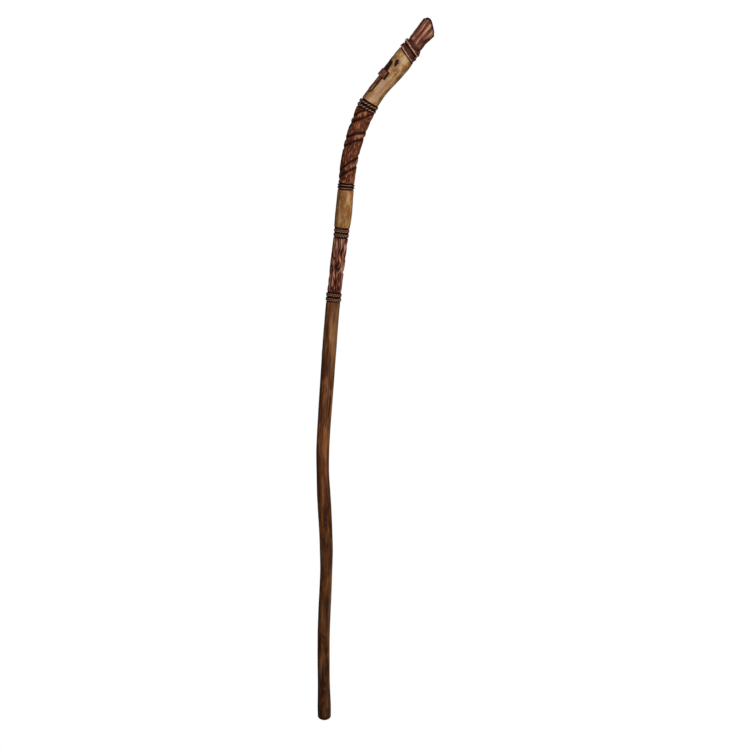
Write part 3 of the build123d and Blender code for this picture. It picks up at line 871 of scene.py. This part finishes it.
def ring_tree(name):
    """A geometry tree for one ring of strands laid round a circle: each strand swings across the ring and in
    and out of it as it goes round. Lay 1 is a twisted rope and lay 2 a flat plait."""
    tree = bpy.data.node_groups.new(name, "GeometryNodeTree")
    tree.interface.new_socket("Geometry", in_out="OUTPUT", socket_type="NodeSocketGeometry")
    for label in ("Radius", "Half Width", "Half Depth", "Strand Width", "Strand Depth", "Unevenness",
                  "Top Share"):
        tree.interface.new_socket(label, in_out="INPUT", socket_type="NodeSocketFloat")
    for label in ("Strands", "Swings", "Lay", "Seed"):
        tree.interface.new_socket(label, in_out="INPUT", socket_type="NodeSocketInt")
    tree.interface.new_socket("Finish", in_out="INPUT", socket_type="NodeSocketMaterial")
    nodes, links = tree.nodes, tree.links
    given = nodes.new("NodeGroupInput").outputs

    def node(kind, settings=None, inputs=None, output=0):
        return add_node(tree, kind, settings, inputs).outputs[output]

    def store(geometry, name, value):
        return node("GeometryNodeStoreNamedAttribute", {"data_type": "FLOAT", "domain": "POINT"},
                    {"Geometry": geometry, "Name": name, "Value": value})

    def recall(name):
        return node("GeometryNodeInputNamedAttribute", {"data_type": "FLOAT"}, {"Name": name}, "Attribute")

    def sums(operation, first, second=0.0, third=0.0):
        return node("ShaderNodeMath", {"operation": operation}, {0: first, 1: second, 2: third})

    def times(first, second):
        return sums("MULTIPLY", first, second)

    def less(first, second):
        return sums("SUBTRACT", first, second)

    circle = node("GeometryNodeCurvePrimitiveCircle", inputs={"Resolution": 220, "Radius": 1.0})
    copies = nodes.new("GeometryNodeDuplicateElements")
    copies.domain = "SPLINE"
    links.new(circle, copies.inputs["Geometry"])
    links.new(given["Strands"], copies.inputs["Amount"])
    turn = times(node("GeometryNodeSplineParameter", output="Factor"), math.tau)
    keep = store(copies.outputs["Geometry"], "turn", turn)
    phase = times(sums("DIVIDE", copies.outputs["Duplicate Index"], given["Strands"]), math.tau)
    keep = store(keep, "phase", phase)
    turn = recall("turn")
    phase = recall("phase")
    swing = sums("MULTIPLY_ADD", turn, given["Swings"], phase)
    wobble = node("ShaderNodeTexNoise", {"noise_dimensions": "4D"}, {
        "Vector": node("GeometryNodeInputPosition"), "W": given["Seed"], "Scale": 3.0, "Detail": 1.0})
    wobble = times(less(wobble, 0.5), given["Unevenness"])
    rise = sums("MULTIPLY_ADD", sums("SINE", swing), given["Half Width"], wobble)
    lead = times(less(given["Lay"], 1.0), math.pi / 2.0)
    deep = sums("COSINE", less(times(swing, given["Lay"]), lead))
    out = sums("ADD", sums("MULTIPLY_ADD", deep, given["Half Depth"], given["Radius"]), times(wobble, 0.4))
    place = node("ShaderNodeCombineXYZ", inputs={
        0: times(out, sums("SINE", turn)),
        1: times(times(out, sums("COSINE", turn)), -1.0), 2: rise})
    laid = node("GeometryNodeSetPosition", inputs={"Geometry": keep, "Position": place})
    laid = store(laid, "on top", deep)
    upright = node("GeometryNodeSetCurveNormal", {"mode": "Z_UP"}, {"Curve": laid})
    section = node("GeometryNodeCurvePrimitiveCircle", inputs={"Resolution": 14, "Radius": 1.0})
    height = node("ShaderNodeSeparateXYZ", inputs={0: node("GeometryNodeInputPosition")}, output="Y")
    section = store(section, "across", height)
    section = node("GeometryNodeTransform", inputs={
        "Geometry": section, "Scale": node("ShaderNodeCombineXYZ", inputs={
            0: given["Strand Depth"], 1: given["Strand Width"], 2: 1.0})})
    strand = node("GeometryNodeCurveToMesh", inputs={"Curve": upright, "Profile Curve": section})
    flat = node("ShaderNodeVectorMath", {"operation": "MULTIPLY"},
                {0: node("GeometryNodeInputPosition"), 1: (1.0, 1.0, 0.0)})
    length = node("ShaderNodeVectorMath", {"operation": "LENGTH"}, {0: flat}, "Value")
    # The height mask that colours the cord: painted shade low in the crevices, painted highlight on the
    # outward crowns of the strands.
    full = sums("ADD", given["Half Depth"], given["Strand Depth"])
    high = sums("MULTIPLY_ADD", sums("DIVIDE", less(length, given["Radius"]), full), 0.5, 0.5)
    across = recall("across")
    on_top = recall("on top")
    crown = less(1.0, times(across, across))
    high = times(high, sums("MULTIPLY_ADD", crown, 0.8, 0.2))
    high = sums("ADD", high, times(on_top, given["Top Share"]))
    marked = store(strand, "high", high)
    smooth = node("GeometryNodeSetShadeSmooth", inputs={"Geometry": marked})
    real = node("GeometryNodeRealizeInstances", inputs={"Geometry": smooth})
    done = node("GeometryNodeSetMaterial", inputs={"Geometry": real, "Material": given["Finish"]})
    end = nodes.new("NodeGroupOutput")
    links.new(done, end.inputs["Geometry"])
    return tree


ring_nodes = ring_tree("laid_ring")


def lay_ring(ring, finish, strands, swings, lay, strand_width, strand_depth, uneven, seed, top_share=0.12):
    """One ring of cord from the laid_ring tree, in the place of its CAD ring."""
    holder = new_object("holder", bpy.data.meshes.new("holder"))
    made = holder.modifiers.new("laid", "NODES")
    made.node_group = ring_nodes
    items = ring_nodes.interface.items_tree
    sockets = {item.name: item.identifier for item in items if item.in_out == "INPUT"}
    sizes = {"Radius": ring.middle, "Half Width": ring.width / 2.0 - strand_width,
             "Half Depth": max(ring.thickness / 2.0 - strand_depth, 0.0), "Strand Width": strand_width,
             "Strand Depth": strand_depth, "Unevenness": uneven, "Top Share": top_share, "Strands": strands,
             "Swings": swings, "Lay": lay, "Seed": seed, "Finish": finish}
    for label, value in sizes.items():
        made[sockets[label]] = value
    mesh = modified_mesh(holder)
    mesh.transform(ring.turn_into_place())
    turn_outwards(mesh)
    piece = new_object(f"{ring.node}_laid", mesh)
    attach(piece, "root")
    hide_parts(ring.node)


def broad_ring(ring, finish, seed, rolled, shift):
    """A broad flat ring with gouged sides and a pale, wavy lower edge, set over to one side. A rolled one
    flares out from its top to its lower edge."""
    spokes, section = 256, 40
    turn = np.tile(full_turn(spokes), (section, 1))
    lap = np.tile(full_turn(section)[:, None], (1, spokes))
    half_width, half_depth = ring.width / 2.0, ring.thickness / 2.0
    square = 3.2
    across = np.sign(np.sin(lap)) * np.abs(np.sin(lap)) ** (2.0 / square) * half_width
    depth = np.sign(np.cos(lap)) * np.abs(np.cos(lap)) ** (2.0 / square) * half_depth
    out = ring.middle + depth
    x, y = ring.middle * np.cos(turn), ring.middle * np.sin(turn)
    outside = step(0.0, 0.8, np.cos(lap))
    edge = step(-0.25 * half_width, -0.8 * half_width, across)
    gouge = cloud(x / 1.9, y / 1.9, across / 5.0 + seed, 80 + seed)
    marks = hill(gouge, 0.2) * (1.0 - edge)
    wave = cloud(x / 3.4, y / 3.4, np.zeros_like(x) + seed, 90 + seed)
    out = out - outside * 0.45 * marks + outside * edge * 0.1 * wave
    if rolled:
        flare = step(half_width, -0.5 * half_width, across)
        out = ring.inner + (out - ring.inner) * (0.12 + 1.0 * flare)
    rise = across + 0.45 * wave * edge
    high = np.clip(outside * (0.34 + 0.2 * gouge + 0.75 * edge * (0.65 + 0.5 * wave)) - 0.25 * marks
                   * outside, 0, 1)
    local = np.stack([out * np.sin(turn) + shift, -out * np.cos(turn), rise], -1).reshape(-1, 3)
    faces = []
    for j in range(section):
        faces += strip(j * spokes, (j + 1) % section * spokes, spokes)
    placed = np.array([tuple(ring.turn_into_place() @ Vector(p)) for p in local]) / MM
    piece = make_piece(f"{ring.node}_broad", placed, faces, finish, {"high": high.ravel()})
    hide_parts(ring.node)


def make_rings():
    hand, grip, thin, neck, head = (bands[name] for name in ("hand", "grip", "thin", "neck", "head"))
    lay_ring(hand.lower, cord_plaited, 3, 6, 2, 1.05, 0.85, 0.5, 1)
    lay_ring(hand.upper, cord_plaited, 3, 6, 2, 1.05, 0.85, 0.5, 2)
    lay_ring(grip.lower, cord_plaited, 3, 6, 2, 1.1, 0.85, 0.5, 3)
    lay_ring(grip.upper, cord_plaited, 3, 8, 2, 1.1, 0.85, 0.4, 4)
    lay_ring(thin.lower, cord_smooth, 1, 1, 1, 1.2, 1.45, 0.9, 5, 0.0)
    lay_ring(thin.upper, cord_smooth, 1, 1, 1, 1.2, 1.45, 0.9, 6, 0.0)
    lay_ring(neck.lower, cord_twisted, 2, 9, 1, 1.2, 0.95, 0.3, 7, 0.2)
    lay_ring(neck.upper, cord_twisted, 2, 9, 1, 1.2, 0.95, 0.3, 8, 0.2)
    broad_ring(head.lower, cord_broad, 3, False, 0.8)
    broad_ring(head.upper, cord_broad, 5, True, -1.5)


# ---- the rest

def eye_finish():
    f = Finish("polished_eye_finish")
    here = f.node("ShaderNodeTexCoord", output="Object")
    swirl = f.noise(here, 420.0, detail=2.0, twist=0.8)
    colour = f.ramp(swirl, [(0.3, paint(22, 8, 6)), (0.7, paint(50, 20, 16))])
    # Painted highlight: a pale glint mixed in by the pale mask.
    colour = f.mix(colour, paint(176, 142, 130), f.attribute("worn"))
    return f.surface(colour, 0.16, Coat_Weight=0.5, Coat_Roughness=0.08, Specular_IOR_Level=0.3)


def dowel_finish():
    f = Finish("dowel_finish")
    here = f.node("ShaderNodeTexCoord", output="Object")
    fibre = f.noise(f.along(here, (900.0, 900.0, 60.0)), detail=4.0)
    colour = f.ramp(fibre, [(0.25, paint(150, 112, 72)), (0.75, paint(196, 158, 112))])
    return f.surface(colour, 0.6, f.bump(fibre, 0.1 * MM))


ROOM_LIGHT = 0.16  # how much the white surround lights the wand


def make_stage():
    """A plain pale floor at the foot and a white surround, which also lights the wand softly and dimly."""
    low = Vector(cad_box[0])
    bpy.ops.mesh.primitive_plane_add(size=60.0, location=(0.0, 0.0, low.z - 0.0005))
    floor = bpy.context.object
    floor.name = "floor"
    f = Finish("pale_floor")
    glow = f.node("ShaderNodeEmission", inputs={"Color": (1.0, 1.0, 1.0, 1.0), "Strength": 1.0})
    f.close(glow)
    floor.data.materials.append(f.material)
    floor.visible_diffuse = False
    floor.visible_glossy = False
    world = bpy.data.worlds.new("surround")
    bpy.context.scene.world = world
    world.use_nodes = True
    tree = world.node_tree
    tree.nodes.clear()
    white, dim = (add_node(tree, "ShaderNodeBackground", inputs={"Color": (1.0, 1.0, 1.0, 1.0),
        "Strength": strength})
                  for strength in (1.0, ROOM_LIGHT))
    seen = add_node(tree, "ShaderNodeLightPath").outputs["Is Camera Ray"]
    choose = add_node(tree, "ShaderNodeMixShader", inputs={0: seen, 1: dim.outputs[0], 2: white.outputs[0]})
    add_node(tree, "ShaderNodeOutputWorld", inputs={"Surface": choose.outputs[0]})


def light(name, azimuth, elevation, distance, size, power):
    """A soft box that faces the middle of the wand. Azimuth 0 is in front of it."""
    middle = (Vector(cad_box[0]) + Vector(cad_box[1])) / 2.0
    a, e = math.radians(azimuth), math.radians(elevation)
    way = Vector((math.sin(a) * math.cos(e), -math.cos(a) * math.cos(e), math.sin(e)))
    lamp = bpy.data.lights.new(name, "AREA")
    lamp.shape, lamp.size, lamp.energy = "DISK", size, power
    holder = new_object(name, lamp)
    holder.location = middle + way * distance
    holder.rotation_euler = way.to_track_quat("Z", "Y").to_euler()


def make_camera():
    low, high = Vector(cad_box[0]), Vector(cad_box[1])
    elevation, distance, across = math.radians(6.0), 14.0, 0.9715
    aim = (low + high) / 2.0 + Vector((0.0007, 0.0, -0.0070))
    way = Vector((0.0, -math.cos(elevation), math.sin(elevation)))
    data = bpy.data.cameras.new("camera")
    data.sensor_width = 36.0
    data.lens = 36.0 * distance / across
    data.clip_end = 100.0
    camera = new_object("camera", data)
    camera.location = aim + way * distance
    camera.rotation_euler = way.to_track_quat("Z", "Y").to_euler()
    bpy.context.scene.camera = camera


make_shaft()
make_grip()
make_pale_length()
make_spiral_length()
make_head()
make_topknot()
carved_inlay("nose", finishes["inlay"], "dark_stained_wood", 0.3, 3, 1.9, 13.7)
carved_inlay("chin_strip", finishes["inlay"], "dark_stained_wood", 0.3, 3, 0.6)
eye_gloss = eye_finish()
carved_inlay("eye_left", eye_gloss, "eye", 0.15, 4, 0.5)
carved_inlay("eye_right", eye_gloss, "eye", 0.15, 4, 0.5)
make_rings()
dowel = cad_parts["topknot_dowel"]
dowel.data.materials.clear()
dowel.data.materials.append(dowel_finish())
make_stage()
light("key", 22.0, 24.0, 3.2, 1.3, 84.0)
light("back", 180.0, 24.0, 3.6, 1.2, 34.0)
make_camera()
bpy.context.scene.view_settings.view_transform = "Standard"
